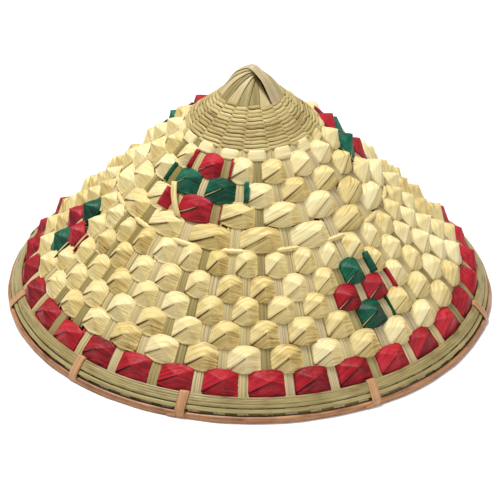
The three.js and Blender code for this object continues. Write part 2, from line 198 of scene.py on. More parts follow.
class Material:
    """A node material under construction, with short helpers for the nodes used here."""

    def __init__(self, name):
        self.material = bpy.data.materials.new(name)
        self.material.use_nodes = True
        self.tree = self.material.node_tree
        self.tree.nodes.clear()
        output = self.tree.nodes.new("ShaderNodeOutputMaterial")
        self.shader = self.tree.nodes.new("ShaderNodeBsdfPrincipled")
        self.tree.links.new(self.shader.outputs[0], output.inputs[0])

    def node(self, kind, **inputs):
        made = self.tree.nodes.new("ShaderNode" + kind)
        for key, value in inputs.items():
            self.feed(made.inputs[key.replace("_", " ")], value)
        return made

    def feed(self, socket, value):
        if isinstance(value, bpy.types.NodeSocket):
            self.tree.links.new(value, socket)
        else:
            socket.default_value = value

    def math(self, operation, a, b=0.0):
        made = self.tree.nodes.new("ShaderNodeMath")
        made.operation = operation
        self.feed(made.inputs[0], a)
        self.feed(made.inputs[1], b)
        return made.outputs[0]

    def mix(self, factor, a, b):
        made = self.tree.nodes.new("ShaderNodeMix")
        made.data_type = "RGBA"
        self.feed(made.inputs[0], factor)
        self.feed(made.inputs[6], a)
        self.feed(made.inputs[7], b)
        return made.outputs[2]

    def ramp(self, factor, *stops):
        made = self.tree.nodes.new("ShaderNodeValToRGB")
        self.feed(made.inputs[0], factor)
        elements = made.color_ramp.elements
        while len(elements) < len(stops):
            elements.new(0.5)
        for element, (position, colour) in zip(elements, stops):
            element.position = position
            element.color = colour
        return made.outputs[0]

    def fibre(self, along, across, spin=60.0):
        """Fibre coordinates, stretched, and shifted for each piece by its tone."""
        uv = self.tree.nodes.new("ShaderNodeUVMap")
        uv.uv_map = "fibre"
        tone = self.tone()
        split = self.node("SeparateXYZ", Vector=uv.outputs[0])
        return self.node(
            "CombineXYZ",
            X=self.math("MULTIPLY", split.outputs[0], along),
            Y=self.math("MULTIPLY", split.outputs[1], across),
            Z=self.math("MULTIPLY", tone, spin),
        ).outputs[0]

    def tone(self, key="tone"):
        attribute = self.tree.nodes.new("ShaderNodeAttribute")
        attribute.attribute_name = key
        return attribute.outputs["Fac"]

    def noise(self, vector, scale=1.0, detail=3.0, roughness=0.55):
        made = self.node("TexNoise", Vector=vector, Scale=scale, Detail=detail, Roughness=roughness)
        return made.outputs[0]

    def stretch(self, value, low, high, to_low=0.0, to_high=1.0):
        made = self.tree.nodes.new("ShaderNodeMapRange")
        self.feed(made.inputs[0], value)
        for k, number in enumerate((low, high, to_low, to_high)):
            made.inputs[k + 1].default_value = number
        return made.outputs[0]

    def bump(self, height, distance):
        made = self.node("Bump", Height=height, Strength=1.0, Distance=distance * MM)
        self.tree.links.new(made.outputs[0], self.shader.inputs["Normal"])


def strip_material(name, light, middle, dark, tint, deep, *, rough=(0.42, 0.62), streak=1.5, bump,
                   tone_share, tint_share=0.35, specular=0.45, contrast=1.0):
    """A fibrous plant strip: long fine streaks, slow blotches, and a shade of its own for each piece."""
    m = Material(name)
    fine = m.noise(m.fibre(0.045, streak * 1.9), detail=4.0, roughness=0.65)
    broad = m.noise(m.fibre(0.03, streak * 0.45, 31.0), detail=2.0)
    blotch = m.noise(m.fibre(0.09, 0.12, 17.0), detail=2.0)
    lines = m.stretch(m.noise(m.fibre(0.02, streak * 2.6, 47.0), detail=2.0), 0.56, 0.72)
    shade = m.math("ADD", m.math("MULTIPLY", m.stretch(fine, 0.3, 0.7), 0.34 * contrast),
                   m.math("MULTIPLY", m.stretch(broad, 0.32, 0.68), 0.30 * contrast))
    shade = m.math("ADD", shade, m.math("MULTIPLY", m.tone(), tone_share))
    shade = m.math("ADD", shade, m.math("MULTIPLY", m.stretch(blotch, 0.35, 0.65), 0.14))
    # Painted light and shade: each point's shade attribute lightens or darkens the colour.
    shade = m.math("ADD", shade, m.tone("shade"))
    # deep, the darkest stop, is reached by the darkest streaks and by the painted shadow under the flaps.
    colour = m.ramp(shade, (0.0, deep), (0.22, dark), (0.55, middle), (0.95, light))
    tinted = m.mix(m.math("MULTIPLY", m.stretch(blotch, 0.45, 0.75), tint_share), colour, tint)
    lined = m.mix(m.math("MULTIPLY", lines, 0.38 * contrast), tinted, dark)
    m.feed(m.shader.inputs["Base Color"], lined)
    m.feed(m.shader.inputs["Roughness"], m.stretch(fine, 0.3, 0.7, rough[1], rough[0]))
    m.shader.inputs["Specular IOR Level"].default_value = specular
    relief = m.math("ADD", fine, m.math("MULTIPLY", broad, 0.7))
    m.bump(m.math("SUBTRACT", relief, m.math("MULTIPLY", lines, 0.5)), bump)
    return m.material


STRAW = strip_material(
    "straw", linear(253, 241, 196), linear(234, 212, 144), linear(188, 154, 80), linear(222, 198, 108),
    linear(76, 52, 16), bump=0.22, tone_share=0.36, contrast=1.15)
CAP_STRAW = strip_material(
    "cap_straw", linear(222, 204, 146), linear(190, 168, 106), linear(122, 96, 44), linear(170, 162, 94),
    linear(60, 42, 12), bump=0.14, tone_share=0.35, contrast=1.1)
RED = strip_material(
    "red_straw", linear(212, 44, 60), linear(164, 8, 26), linear(92, 0, 10), linear(186, 36, 56),
    linear(34, 0, 4), rough=(0.34, 0.54), bump=0.2, tone_share=0.3, specular=0.3, contrast=1.15)
GREEN = strip_material(
    "green_straw", linear(12, 122, 90), linear(0, 78, 54), linear(0, 34, 24), linear(20, 112, 80),
    linear(0, 12, 8), rough=(0.34, 0.54), bump=0.2, tone_share=0.3, specular=0.3, contrast=1.15)


def splint_material():
    """Split bamboo: each splint olive, tan, golden or pinkish by its tone, with long dark grain lines."""
    m = Material("bamboo_splint")
    fine = m.noise(m.fibre(0.016, 2.3), detail=4.0, roughness=0.65)
    broad = m.noise(m.fibre(0.012, 0.42, 31.0), detail=2.0)
    lines = m.stretch(m.noise(m.fibre(0.006, 1.9, 47.0), detail=1.0), 0.55, 0.66)
    own = m.ramp(
        m.tone(),
        (0.0, linear(138, 126, 66)),
        (0.28, linear(170, 156, 94)),
        (0.42, linear(214, 196, 138)),
        (0.7, linear(230, 212, 154)),
        (1.0, linear(226, 206, 166)),
    )
    paler = m.mix(m.stretch(broad, 0.35, 0.7, 0.0, 0.45), own, linear(226, 206, 156))
    darker = m.mix(m.stretch(fine, 0.36, 0.66, 0.5, 0.0), paler, linear(132, 108, 56))
    lined = m.mix(m.math("MULTIPLY", lines, 0.42), darker, linear(98, 78, 34))
    # Painted shade: the splint darker in its grooves and along its edges, by each point's shade.
    split = m.mix(m.math("MULTIPLY", m.tone("shade"), -1.0), lined, linear(70, 52, 20))
    m.feed(m.shader.inputs["Base Color"], split)
    m.feed(m.shader.inputs["Roughness"], m.stretch(fine, 0.3, 0.7, 0.55, 0.36))
    m.shader.inputs["Specular IOR Level"].default_value = 0.45
    m.bump(m.math("SUBTRACT", fine, m.math("MULTIPLY", lines, 0.8)), 0.12)
    return m.material


BAMBOO = splint_material()
GREEN_BAMBOO = strip_material(
    "green_bamboo", linear(210, 193, 142), linear(162, 144, 90), linear(106, 90, 46), linear(146, 132, 76),
    linear(40, 32, 10), rough=(0.34, 0.5), streak=1.0, bump=0.10, tone_share=0.3, tint_share=0.6)
RATTAN = strip_material(
    "rattan", linear(214, 168, 120), linear(182, 128, 86), linear(112, 68, 36), linear(168, 106, 70),
    linear(58, 26, 12), rough=(0.36, 0.52), streak=1.4, bump=0.12, tone_share=0.4)


# ---------- folded cells ----------
TUCK = 0.75                # how far a cell's sides go in below the splints' surface
FOLD_ANGLE = 24.0          # degrees from which a bend in the straw is drawn sharp
EDGE_DROP = 0.9            # how far a cell's outline lies below its facets
RAYS_FLAT = 0.84           # share of each ray that is facet; the rest rounds down to the outline


def splint_width(s, band):
    """Visible width of a splint in mm. The lower band narrows towards the seam, where it is crowded."""
    if band == "lower":
        return 10.0 - 2.6 * np.minimum(s, SEAM) / SEAM
    return 9.4 - 1.6 * (np.maximum(s, SEAM) - SEAM) / (SLANT - SEAM)


class Fold:
    """The shape of one folded cell: a strip pleated to a peak, drawn round the peak as a fan of rays.

    The fan starts at the free edge of the upper flap, goes clockwise round the peak, and ends just
    under that edge again, so the flap really lies over the lower left facet.
    """

    def __init__(self, width, height, peak, long, square=False):
        self.width, self.height, self.square = width, height, square
        self.peak_x = width * (rng.normal(0.20 if long else 0.07, 0.035))
        self.peak_y = height * (rng.normal(0.03 if long else 0.02, 0.03))
        self.peak = peak * rng.uniform(0.88, 1.12)
        corner = np.array([-width * 0.5, -height * rng.normal(0.36, 0.04)])
        reach = corner - (self.peak_x, self.peak_y)
        self.slit = math.degrees(math.atan2(reach[1], reach[0])) % 360
        self.flap_lift = rng.uniform(0.7, 1.5)
        self.side = rng.uniform(1.3, 2.0)
        self.top = rng.uniform(1.7, 2.7)
        self.foot = rng.uniform(1.7, 2.7)
        self.pleats = rng.uniform(0.1, 0.5) * (rng.random() < 0.7)
        self.pleat_phase = rng.uniform(0, 6.28)
        self.dent = rng.uniform(-0.7, 0.7, 3)
        self.tone = rng.uniform(0.0, 1.0)
        self.offset = rng.uniform(0, 400, 2)
        self.arch_top = rng.uniform(0.28, 0.44)
        self.turn = rng.normal(0, 1.6)

    def edge_height(self, x, upper):
        """Half height of the outline at x: arched above, and below with its left corner cut higher."""
        side = np.abs(x) / (self.width / 2)
        if upper:
            return self.height / 2 * (1 - self.arch_top * (0.6 if self.square else 1.0) * side ** 2.2)
        cut = np.where(x < 0, 0.34, 0.15) * (0.4 if self.square else 1.0)
        return self.height / 2 * (1 - cut * side ** 1.5)

    def inside(self, x, y):
        side = np.abs(x) / (self.width / 2)
        limit = np.where(y > 0, self.edge_height(x, True), self.edge_height(x, False))
        return (side ** 24 + (np.abs(y) / np.maximum(limit, 0.1)) ** 24) <= 1

    def reach(self, theta):
        """Distance from the peak to the outline along each ray."""
        low = np.zeros_like(theta)
        high = np.full_like(theta, self.width * 1.5)
        for _ in range(22):
            middle = (low + high) / 2
            x = self.peak_x + middle * np.cos(theta)
            y = self.peak_y + middle * np.sin(theta)
            ok = self.inside(np.clip(x, -self.width / 2, self.width / 2), y) & (np.abs(x) <= self.width / 2)
            low = np.where(ok, middle, low)
            high = np.where(ok, high, middle)
        return low

    def edge_level(self, x, upper):
        """Levels near the outline and on it. The cell dives steeply under the splints at both sides."""
        side = np.abs(x) / (self.width / 2)
        dive = smooth(0.86, 1.0, side)
        if upper:
            near = self.side + (self.top - self.side) * (1 - side ** 2)
        else:
            left = np.clip((x + self.width / 2) / (self.peak_x + self.width / 2), 0, 1)
            right = np.clip((self.width / 2 - x) / (self.width / 2 - self.peak_x), 0, 1)
            near = self.side + (self.foot - self.side) * np.minimum(left, right)
        return near, near - EDGE_DROP - (near + TUCK - EDGE_DROP) * dive

    def surface(self, lift=0.0, shrink=1.0, start=0.0):
        """Grid of x, y, n in mm, its fibre coordinates and its painted light and shade, for a cell or a
        dyed strip on it.
        """
        ridge = (self.slit - 270) % 360
        turns = np.concatenate([
            np.linspace(start, ridge, 44, endpoint=False),
            np.linspace(ridge, 360, 14, endpoint=False),
            np.linspace(360, 374, 3),
        ])
        theta = np.radians(self.slit - turns)
        rays = np.concatenate([np.linspace(0, RAYS_FLAT, 8) ** 0.95, [0.89, 0.93, 0.965, 0.99, 1.0]])
        reach = self.reach(theta)
        turn, rho = turns[:, None], rays[None, :]
        distance = reach[:, None] * rho
        x = self.peak_x + distance * np.cos(theta)[:, None]
        y = self.peak_y + distance * np.sin(theta)[:, None]
        outline_x = self.peak_x + reach * np.cos(theta)
        above, below = self.edge_level(outline_x, True), self.edge_level(outline_x, False)
        is_up = smooth(-0.12, 0.12, np.sin(theta))
        near, edge = (low + (high - low) * is_up for low, high in zip(below, above))
        upper = smooth(5, 60, turn) * (1 - smooth(165, 225, turn))
        slope = np.clip(rho / RAYS_FLAT, 0, 1) ** (0.96 + 0.22 * upper)
        n = near[:, None] + (self.peak - near[:, None]) * (1 - slope)
        over = np.clip((rho - RAYS_FLAT) / (1 - RAYS_FLAT), 0, 1)
        n = n - (near - edge)[:, None] * (1 - np.sqrt(1 - over ** 2))
        flap = 1 - smooth(12, 75, turn)
        n = n + self.flap_lift * flap * (0.35 + 0.65 * rho) * (1 - 0.5 * over)
        n = n - 0.5 * smooth(350, 374, turn) * rho
        waves = self.dent[0] * np.sin(turn / 57.3 * 2 + self.pleat_phase)
        waves = waves + self.dent[1] * np.sin(turn / 57.3 * 3 + 1.7 * self.pleat_phase)
        n = n + 0.4 * waves * rho * (1 - rho) * 4 * smooth(10, 60, turn) * (1 - smooth(300, 350, turn))
        slit = math.radians(self.slit - 180)
        dx, dy = x - self.peak_x, y - self.peak_y
        by_slit = dy * math.cos(slit) - dx * math.sin(slit)
        flat = dy * 0.98 + dx * 0.17
        bend = smooth(95, 165, turn)
        lower = smooth(205, 225, turn)
        across = by_slit * (1 - bend) + flat * bend
        across = across * (1 - lower) + dy * lower
        in_left = (turn >= ridge).astype(float)
        across = across * (1 - in_left) + by_slit / math.cos(slit) * in_left
        along = dx * math.cos(slit) * (1 - bend) + dx * bend + dy * math.sin(slit) * (1 - bend)
        right = smooth(150, 215, turn) * (1 - smooth(ridge - 25, ridge - 4, turn))
        stripes = 0.6 * np.sin(across * 2.1 + self.pleat_phase)
        stripes = stripes + 0.4 * np.sin(across * 4.3 + self.pleat_phase * 2)
        n = n + self.pleats * right * stripes * smooth(0.05, 0.3, rho)
        creases = 0.10 * np.sin(across * 3.1 + self.pleat_phase * 3) + 0.07 * np.sin(across * 5.3)
        n = n + creases * smooth(0.1, 0.4, rho)
        # Painted light and shade: the upper flap lighter, the right facet darker with light and dark bands
        # along its pleats, the lower left facet a little darker.
        shade = 0.08 * flap - 0.12 * right - (0.07 + 0.12 * self.pleats) * right * stripes - 0.03 * in_left
        # Painted shadow that the flap's edge casts on the facet under it, along the slit.
        under_flap = np.abs(by_slit) * (turn > 300) + 9 * (turn <= 300)
        shade = shade - 0.75 * np.exp(-((under_flap / 0.9) ** 2)) * smooth(0.02, 0.12, rho)
        # Painted shade along the outline, where the cell dives under the splints.
        shade = shade - 0.16 * smooth(0.93, 1.0, rho)
        points = np.stack([x, y * shrink, n + lift + 0 * x], -1)
        return points, together(along + self.offset[0], across + self.offset[1]), shade


class Row:
    """One weft: where its cells sit, and which splints they cover."""

    def __init__(self, band, number, middle, height, peak):
        self.band, self.middle, self.height, self.peak = band, middle, height, peak
        self.step = 1 if band == "lower" else 2
        self.centres = range(number % 2 * self.step, SPLINTS, 2 * self.step)
        self.wave = rng.uniform(0, 6.28, 2)
        self.cells = {}

    def drift(self, degrees):
        a = np.radians(degrees)
        return 0.8 * np.sin(2 * a + self.wave[0]) + 0.5 * np.sin(5 * a + self.wave[1])

    def radius(self):
        return cone(self.middle, 0)[0]

    def cell_width(self):
        pitch = 2 * math.pi * self.radius() * self.step / SPLINTS
        return 2 * (pitch - splint_width(self.middle, self.band) / 2 + 1.0)

    def make_cells(self):
        width = self.cell_width()
        for i in self.centres:
            fold = Fold(width * rng.uniform(0.97, 1.03), self.height * rng.uniform(0.95, 1.05),
                        self.peak, self.band == "upper", self.middle < ROW_START + LOWER_PITCH)
            fold.up = self.drift(angle_of(i)) + rng.normal(0, 0.5)
            self.cells[i] = fold

    def to_hat(self, i, local, turn=0.0, up=0.0):
        x, y, n = local[..., 0], local[..., 1], local[..., 2]
        a = math.radians(turn)
        x, y = x * math.cos(a) - y * math.sin(a), x * math.sin(a) + y * math.cos(a)
        degrees = angle_of(i) + np.degrees(x / self.radius())
        return place(degrees, self.middle + y + up, n)

    def add_cell(self, sheets, i, **options):
        fold = self.cells[i]
        local, fibre, shade = fold.surface(**options)
        sheets.grid(self.to_hat(i, local, fold.turn, fold.up), fibre, fold.tone, shade=shade)

    def add_under(self, sheets, i, level=-0.9, share=1.02, tone=None, margins=(2.6, 2.6),
                  rise=0.5, ledge=0.5):
        """The flat stretch behind the splint after cell i. It shows past the splint by its margins."""
        width = splint_width(self.middle, self.band)
        ends = -width / 2 - margins[0], width / 2 + margins[1]
        edges = np.add.outer([-width / 2, width / 2], [-1, -0.7, -0.4, -0.1, 0.3]).ravel()
        x = np.unique(np.clip(np.concatenate([np.linspace(*ends, 9), edges]), *ends))[:, None]
        y = np.linspace(-1, 1, 5)[None, :] * self.height * share / 2
        past = np.abs(x) - width / 2
        lift = rise * np.maximum(past, 0) + smooth(-1, -0.1, past) * ledge
        bow = 0.25 * np.cos(y / self.height * 3)
        local = np.stack([x + 0 * y, y + 0 * x, level + lift + bow + 0 * x], -1)
        tone = rng.uniform(0, 1) if tone is None else tone
        fibre = together(x, y) + rng.uniform(0, 400, 2)
        degrees = angle_of(i)
        sheets.grid(self.to_hat(i + self.step, local, 0.0, self.drift(degrees)), fibre, tone)

    def weave(self, sheets):
        self.make_cells()
        for i in self.centres:
            self.add_cell(sheets, i)
            self.add_under(sheets, i)


rows = {}
for number in range(LOWER_ROWS):
    middle = ROW_START + (number + 0.5) * LOWER_PITCH
    if number == 0:
        rows["lower", number] = Row("lower", number, middle - 0.9, 23.4, 10.0)
    else:
        rows["lower", number] = Row("lower", number, middle, 23.8, 10.0)
for number in range(UPPER_ROWS):
    middle = SEAM + SEAM_GAP + (number + 0.5) * UPPER_PITCH
    rows["upper", number] = Row("upper", number, middle, 22.6, 9.6)


def loose_strip(sheets):
    """A torn end of straw that hangs slantwise across the second upper row, left of the front diamond."""
    along = np.linspace(0, 1, 12)[:, None]
    across = np.linspace(-1, 1, 5)[None, :]
    width = 2.9 * (1 - 0.25 * along)
    degrees = -45.5 + 10.5 * along + across * width * 0.62
    slant = SEAM + 44 - 25 * along + across * width * 0.3
    n = 7.6 + 2.2 * np.sin(along * math.pi) - 3.0 * along + 0.3 * (1 - across ** 2)
    sheets.grid(place(degrees, slant, n), together(along * 27, across * width), 0.25)


for (band, number), row in rows.items():
    sheets = Sheets()
    row.weave(sheets)
    if (band, number) == ("upper", 1):
        loose_strip(sheets)
    red = (band, number) == ("lower", 0)
    node = "edge_weft_red" if red else f"{band}_weft_{number + (1 if band == 'upper' else 0)}"
    piece = sheets.build("folded_" + node, RED if red else STRAW, thickness=STRAW_SHELL, sharp=FOLD_ANGLE)
    finish_piece(piece, "red_straw" if red else "straw", node)


# ---------- dyed strips ----------
# Each diamond: the splint in its middle, then its rows as (row, cells, colour, part of the node's name).
DIAMONDS = {
    "upper": ([-6, 18, 38],
              [(1, 1, "red", "low_red"), (2, 2, "green", "green"), (3, 1, "red", "top_red")]),
    "lower": ([6, 28, 48],
              [(2, 1, "green", "low_green"), (3, 2, "red", "red"), (4, 1, "green", "top_green")]),
}
DYES = {"red": (RED, "red_straw"), "green": (GREEN, "green_straw")}

# How far each dyed strip shows past the splints at its two ends, in mm. One of them has a longer end.
HIDDEN = -1.0
ENDS = {"low_red": (HIDDEN, 0.4), "green": (1.2, 3.6), "top_red": (1.5, 1.6),
        "low_green": (HIDDEN, 0.6), "red": (HIDDEN, 1.4), "top_green": (HIDDEN, 3.4)}
LONG_END = {"upper_diamond_1_low_red": (6.5, 0.4)}


def dyed_strip(band, centre, number, cells, colour, label, node):
    row = rows[band, number]
    sheets = Sheets()
    over = [centre] if cells == 1 else [centre - row.step, centre + row.step]
    for i in over:
        row.add_cell(sheets, i % SPLINTS, lift=0.62, shrink=1.02, start=4.0)
    left, right = LONG_END.get(node, ENDS[label])
    end = {"level": -0.35, "share": 0.78, "tone": 0.4, "rise": 0.9, "ledge": 3.4}
    row.add_under(sheets, over[-1], margins=(HIDDEN, right), **end)
    row.add_under(sheets, over[0] - 2 * row.step, margins=(left, HIDDEN), **end)
    material, slot = DYES[colour]
    piece = sheets.build("dyed_" + node, material, thickness=0.35, sharp=FOLD_ANGLE)
    finish_piece(piece, slot, node)


for band, (centres, strips) in DIAMONDS.items():
    for k, centre in enumerate(centres):
        for number, cells, colour, label in strips:
            dyed_strip(band, centre, number, cells, colour, label, f"{band}_diamond_{k + 1}_{label}")


# ---------- splints ----------
# Places across a splint, from edge to edge, closer together at its edges and its two grooves.
ACROSS = np.array([-1, -0.97, -0.86, -0.68, -0.52, -0.42, -0.34, -0.26, -0.13, 0.05,
                   0.2, 0.28, 0.36, 0.44, 0.56, 0.7, 0.86, 0.97, 1])
# Splints near the front with a tone of their own, by number. The others draw one of the usual tones.
OWN_TONES = {-8: 0.7, -4: 0.1, -3: 0.88, -2: 0.62, -1: 0.5,
             0: 0.06, 1: 0.95, 2: 0.55, 3: 0.9, 4: 0.6, 5: 0.2}
USUAL_TONES = [0.08, 0.3, 0.5, 0.62, 0.8, 0.95]


class Splint:
    """One bamboo splint: its tone, the grooves where it is split, and how it wavers."""

    def __init__(self, i):
        self.i = i
        nearest = i if i < SPLINTS // 2 else i - SPLINTS
        self.tone = OWN_TONES.get(nearest, rng.choice(USUAL_TONES))
        self.tone = float(np.clip(self.tone + rng.normal(0, 0.03), 0, 1))
        self.grooves = [(g + rng.normal(0, 0.04), rng.choice([0.04, 0.16, 0.4])) for g in (-0.36, 0.34)]
        self.offset = rng.uniform(0, 900, 2)
        self.waver = rng.uniform(0, 6.28, 3)
        self.turn = rng.normal(0, 0.25)

    def relief(self, across):
        crown = 0.28 * (1 - across ** 2)
        grooves = sum(depth * np.exp(-(((across - g) / 0.09) ** 2)) for g, depth in self.grooves)
        rounded = 0.22 * smooth(0.9, 1.0, np.abs(across))
        return crown - grooves - rounded

    # Painted shade: dark lines in the two grooves, and darker edges where the splint rounds off.
    def shade(self):
        dark = sum(1.25 * depth * np.exp(-(((ACROSS - g) / 0.08) ** 2)) for g, depth in self.grooves)
        return -dark - 0.2 * smooth(0.93, 1.0, np.abs(ACROSS))

    def strip(self, s):
        """Grid for the part of the splint in the hat's slope, for slant distances s."""
        upper = smooth(SEAM - 6, SEAM + 6, s) if self.i % 2 == 0 else np.zeros_like(s)
        width = splint_width(s, "lower") * (1 - upper) + splint_width(s, "upper") * upper
        across = ACROSS[None, :]
        x = across * width[:, None] / 2 + 0.25 * np.sin(s / 31 + self.waver[0])[:, None]
        x = x + 0.12 * np.sin(s / 7 + self.waver[1])[:, None] * across
        n = SPLINT_THICK * 0.55 + self.relief(across) + self.bulge(s)[:, None]
        radius = cone(s, 0)[0][:, None]
        degrees = angle_of(self.i) + self.turn + np.degrees(x / radius)
        fibre = together(s[:, None] + self.offset[0], x + self.offset[1])
        return place(degrees, s[:, None], n), fibre

    def bulge(self, s):
        """The splint stands out a little where it is bare, and is pressed in under each cell."""
        out = np.zeros_like(s)
        for (_, number), row in rows.items():
            if self.i % row.step:
                continue
            covered = (self.i // row.step - number) % 2 == 0
            middle = np.exp(-(((s - row.middle) / (row.height * 0.33)) ** 2))
            out += middle * (-0.25 if covered else 0.7)
        return out


def slope_stations(top):
    """Slant distances of a splint's cross-sections, from its foot up to top."""
    low = 2.4
    return np.linspace(low, top, int((top - low) / 2.4))


def inserted(indices, top, node):
    """The shorter splints between the legs of the crown splints."""
    sheets = Sheets()
    for i in indices:
        splint = Splint(i)
        points, fibre = splint.strip(slope_stations(top + rng.uniform(-0.6, 0.6)))
        sheets.grid(points, fibre, splint.tone, shade=splint.shade())
    finish_piece(sheets.build("bamboo_" + node, BAMBOO, thickness=SPLINT_SHELL), "bamboo_splint", node)


inserted(range(1, SPLINTS, 2), SEAM + 1.5, "lower_inserted_splints")
inserted(range(2, SPLINTS, 4), SLANT + 1.0, "upper_inserted_splints")


def cap_dome(radius):
    """How far the cap's side bulges out from a straight cone."""
    return 1.6 * np.exp(-(((radius - 24) / 13) ** 2))


def cap_height(radius, layer):
    """Height of a crown splint at a true radius from the axis, rising to its own layer near the tip."""
    slope = (CROWN_HEIGHT - CAP_BOTTOM) / (CAP_RADIUS - CROWN_FLAT)
    soft = np.sqrt(radius ** 2 + 4.0 ** 2)
    climb = 1 - smooth(STACK_FULL - 6, STACK_START + 3, radius)
    return CAP_BOTTOM + slope * (CAP_RADIUS - soft) + cap_dome(radius) + layer * STACK_STEP * climb


def crown_splint(layer):
    """One strip from rim to rim over the tip. Its two legs are splints i and i + 32."""
    i = (4 - 4 * layer) % SPLINTS
    legs = [Splint(i), Splint((i + SPLINTS // 2) % SPLINTS)]
    legs[1].tone, legs[1].offset = legs[0].tone, legs[0].offset
    s = slope_stations(SLANT - 3)
    first, fibre_first = legs[0].strip(s)
    second, fibre_second = legs[1].strip(s)
    radius = np.linspace(CAP_RADIUS - 1.5, -(CAP_RADIUS - 1.5), 75)[:, None]
    half = 4.2 + 0.9 * smooth(6, 26, np.abs(radius))
    y = ACROSS[None, :] * half
    true = np.hypot(radius, y * (np.abs(radius) < 34))
    z = cap_height(true, layer) + (legs[0].relief(ACROSS)[None, :] + 0.33) * 0.8
    a = math.radians(angle_of(i))
    east = radius * math.sin(a) + y * math.cos(a)
    north = -radius * math.cos(a) + y * math.sin(a)
    over = together(east, north, z) * MM
    run = SLANT + (CAP_RADIUS - radius) + legs[0].offset[0]
    fibre_over = together(run, y + legs[0].offset[1])
    back, fibre_back = second[::-1, ::-1], fibre_second[::-1, ::-1]
    sheets = Sheets()
    points = np.concatenate([first, over, back])
    fibre = np.concatenate([fibre_first, fibre_over, fibre_back])
    # fade weakens the painted groove and edge shade over the crown.
    fade = np.concatenate([np.ones(len(s)), np.full(len(over), 0.45), np.ones(len(s))])[:, None]
    sheets.grid(points, fibre, legs[0].tone, shade=fade * legs[0].shade()[None, :])
    node = f"crown_splint_{layer + 1}"
    finish_piece(sheets.build("bamboo_" + node, BAMBOO, thickness=SPLINT_SHELL), "bamboo_splint", node)


for layer in range(CROWN_LAYERS):
    crown_splint(layer)


# ---------- twined cap, flat row and seam cord ----------
def ring_cord(sheets, place_ring, half_height, half_thick, tone, offset, count=14, ridges=0.0, twist=0.0):
    """A closed cord. place_ring(degrees, up, out) gives its points; sizes may vary with the angle."""
    degrees = np.linspace(0, 360, count * 16, endpoint=False)
    turn = np.linspace(0, 2 * math.pi, 11)
    bead = 1 + ridges * np.cos(2 * turn[None, :] + np.radians(degrees[:, None]) * twist)
    up = half_height(degrees)[:, None] * np.sin(turn)[None, :] * bead
    out = half_thick * np.cos(turn)[None, :] * bead
    points = place_ring(degrees[:, None], up, out)
    fibre = together(degrees[:, None] * 0.8 + offset, up + out + offset)
    sheets.grid(points, fibre, tone, closed=True)


def cap_twining():
    """Straw weft wound round the crown splints, over one and under the next, one turn above the other."""
    turns, top = 23, 36.5
    rise = CROWN_HEIGHT - CAP_BOTTOM
    run = CAP_RADIUS - CROWN_FLAT
    slant = math.hypot(run, rise)
    out_share, up_share = rise / slant, run / slant
    sheets = Sheets()
    for k in range(turns):
        level = top * k / (turns - 1)
        wave = rng.uniform(0, 6.28)

        def over(degrees, k=k):
            swing = np.cos(np.radians((degrees - FIRST_ANGLE) * 8) + math.pi * k)
            return np.clip(swing * 2.1, -1, 1)

        def ring(degrees, up, out, level=level, wave=wave):
            t = level + up + 0.2 * np.sin(np.radians(degrees) * 3 + wave)
            t = t + 0.3 * np.sin(np.radians(degrees - FIRST_ANGLE) * 16)
            n = 0.5 + 0.95 * over(degrees) + out
            radius = CAP_RADIUS - t * up_share + n * out_share
            height = CAP_BOTTOM + t * out_share + n * up_share + cap_dome(radius)
            return round_axis(np.radians(degrees), radius, height)

        def tall(degrees):
            return 0.75 + 0.75 * smooth(-0.4, 0.8, over(degrees))

        ring_cord(sheets, ring, tall, 0.5, rng.uniform(0.1, 0.9), rng.uniform(0, 500))
    finish_piece(sheets.build("twined_cap", CAP_STRAW, sharp=70), "cap_straw", "cap_twining")


def flat_row():
    """The narrow flat weft under the cap."""
    sheets = Sheets()
    middle = SLANT - FLAT_ROW / 2 - 0.8
    pitch = 2 * math.pi * cone(middle, 0)[0] / (SPLINTS // 2)
    for i in range(0, SPLINTS, 2):
        covered = i % 4 == 0
        width = 2 * (pitch - splint_width(middle, "upper") / 2 + 1.2) if covered else 12
        x = np.linspace(-0.5, 0.5, 17)[:, None] * width
        y = np.linspace(-0.5, 0.5, 7)[None, :] * (FLAT_ROW * rng.uniform(1.2, 1.4))
        side = np.abs(x) / (width / 2)
        slope = rng.uniform(-0.12, 0.2)
        puff = rng.uniform(1.6, 2.6) if covered else -0.2
        n = -0.8 + (puff + 0.5) * (1 - side ** 4) + slope * y + 0.3 * np.cos(y / 2.6)
        degrees = angle_of(i) + np.degrees(x / cone(middle, 0)[0])
        points = place(degrees, middle + y + rng.normal(0, 0.25), n)
        fibre = together(x, y) + rng.uniform(0, 400, 2)
        sheets.grid(points, fibre, rng.uniform(0.3, 1.0))
    finish_piece(sheets.build("flat_upper_weft_5", STRAW, thickness=STRAW_SHELL), "straw", "upper_weft_5")


def seam_cord():
    """A thin twisted cord that shows over the splints that are bare in the first upper row."""
    sheets = Sheets()

    def swing(degrees):
        return np.clip(1.5 * np.cos(np.radians((degrees - FIRST_ANGLE - 2 * PITCH) * 16)), -1, 1)

    def ring(degrees, up, out):
        s = SEAM + 0.6 + up + 0.5 * np.sin(np.radians(degrees) * 4)
        return place(degrees, s, 0.4 + 1.5 * swing(degrees) + out)

    def tall(degrees):
        return 1.6 + 0.5 * smooth(0, 1, swing(degrees))

    ring_cord(sheets, ring, tall, 1.2, 0.5, 40.0, count=40, ridges=0.12, twist=120)
    finish_piece(sheets.build("twisted_seam_cord", STRAW, sharp=70), "straw", "seam_cord")


cap_twining()
flat_row()
seam_cord()


